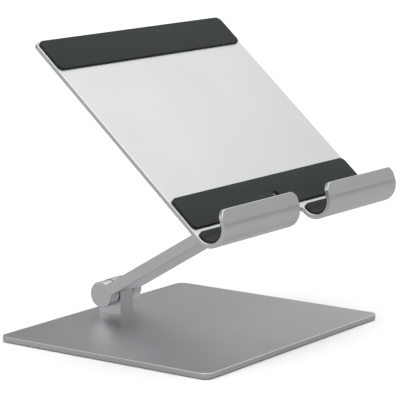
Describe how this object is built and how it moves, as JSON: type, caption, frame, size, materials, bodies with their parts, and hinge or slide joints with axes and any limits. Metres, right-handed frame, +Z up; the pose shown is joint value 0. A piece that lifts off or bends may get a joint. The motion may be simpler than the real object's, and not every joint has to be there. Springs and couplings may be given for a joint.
{
  "type": "tablet stand",
  "caption": "Folding desk stand for a tablet: flat base plate, one hinged arm with a fork at each end, and a tilting tray with rubber pads and two open hooks for the tablet's lower edge.",
  "frame": {"origin": "the middle of the base plate's outline, on the surface that the stand rests on", "axes": "+X to the right of a user who faces the tray, +Y away from the user, +Z up"},
  "size_m": [0.2, 0.1804, 0.1992],
  "materials": {
    "aluminium": "fine satin, bead blasted and anodised silver",
    "pad_rubber": "matt smooth rubber sheet",
    "rubber": "matt foam rubber",
    "steel": "bright zinc plated",
    "nylon": "natural white"
  },
  "bodies": {
    "base": {"base_mat": "rubber", "base_plate": "aluminium", "hinge_post": "aluminium", "post_screws": "steel", "lower_bush": "nylon", "lower_washer_left": "nylon", "lower_washer_right": "nylon"},
    "arm": {"arm": "aluminium", "lower_pivot_bolt": "steel", "lower_spring_washers": "steel", "lower_bolt_cap": "aluminium", "upper_pivot_bolt": "steel", "upper_spring_washers": "steel", "upper_bolt_cap": "aluminium"},
    "tray": {"tray": "aluminium", "tray_block": "aluminium", "upper_bush": "nylon", "upper_washer_left": "nylon", "upper_washer_right": "nylon", "block_screws": "steel", "top_pad": "pad_rubber", "lower_pad": "pad_rubber", "hook_pad_left": "pad_rubber", "hook_pad_right": "pad_rubber"}
  },
  "joints": [
    {"name": "arm_lift", "type": "hinge", "parent": "base", "child": "arm", "pos_m": [0, 0.065, 0.0187], "axis": [1, 0, 0], "range_deg": [-59.1, 15]},
    {"name": "tray_tilt", "type": "hinge", "parent": "arm", "child": "tray", "pos_m": [0, -0.05058, 0.08787], "axis": [-1, 0, 0], "range_deg": [-75, 71.8]}
  ]
}
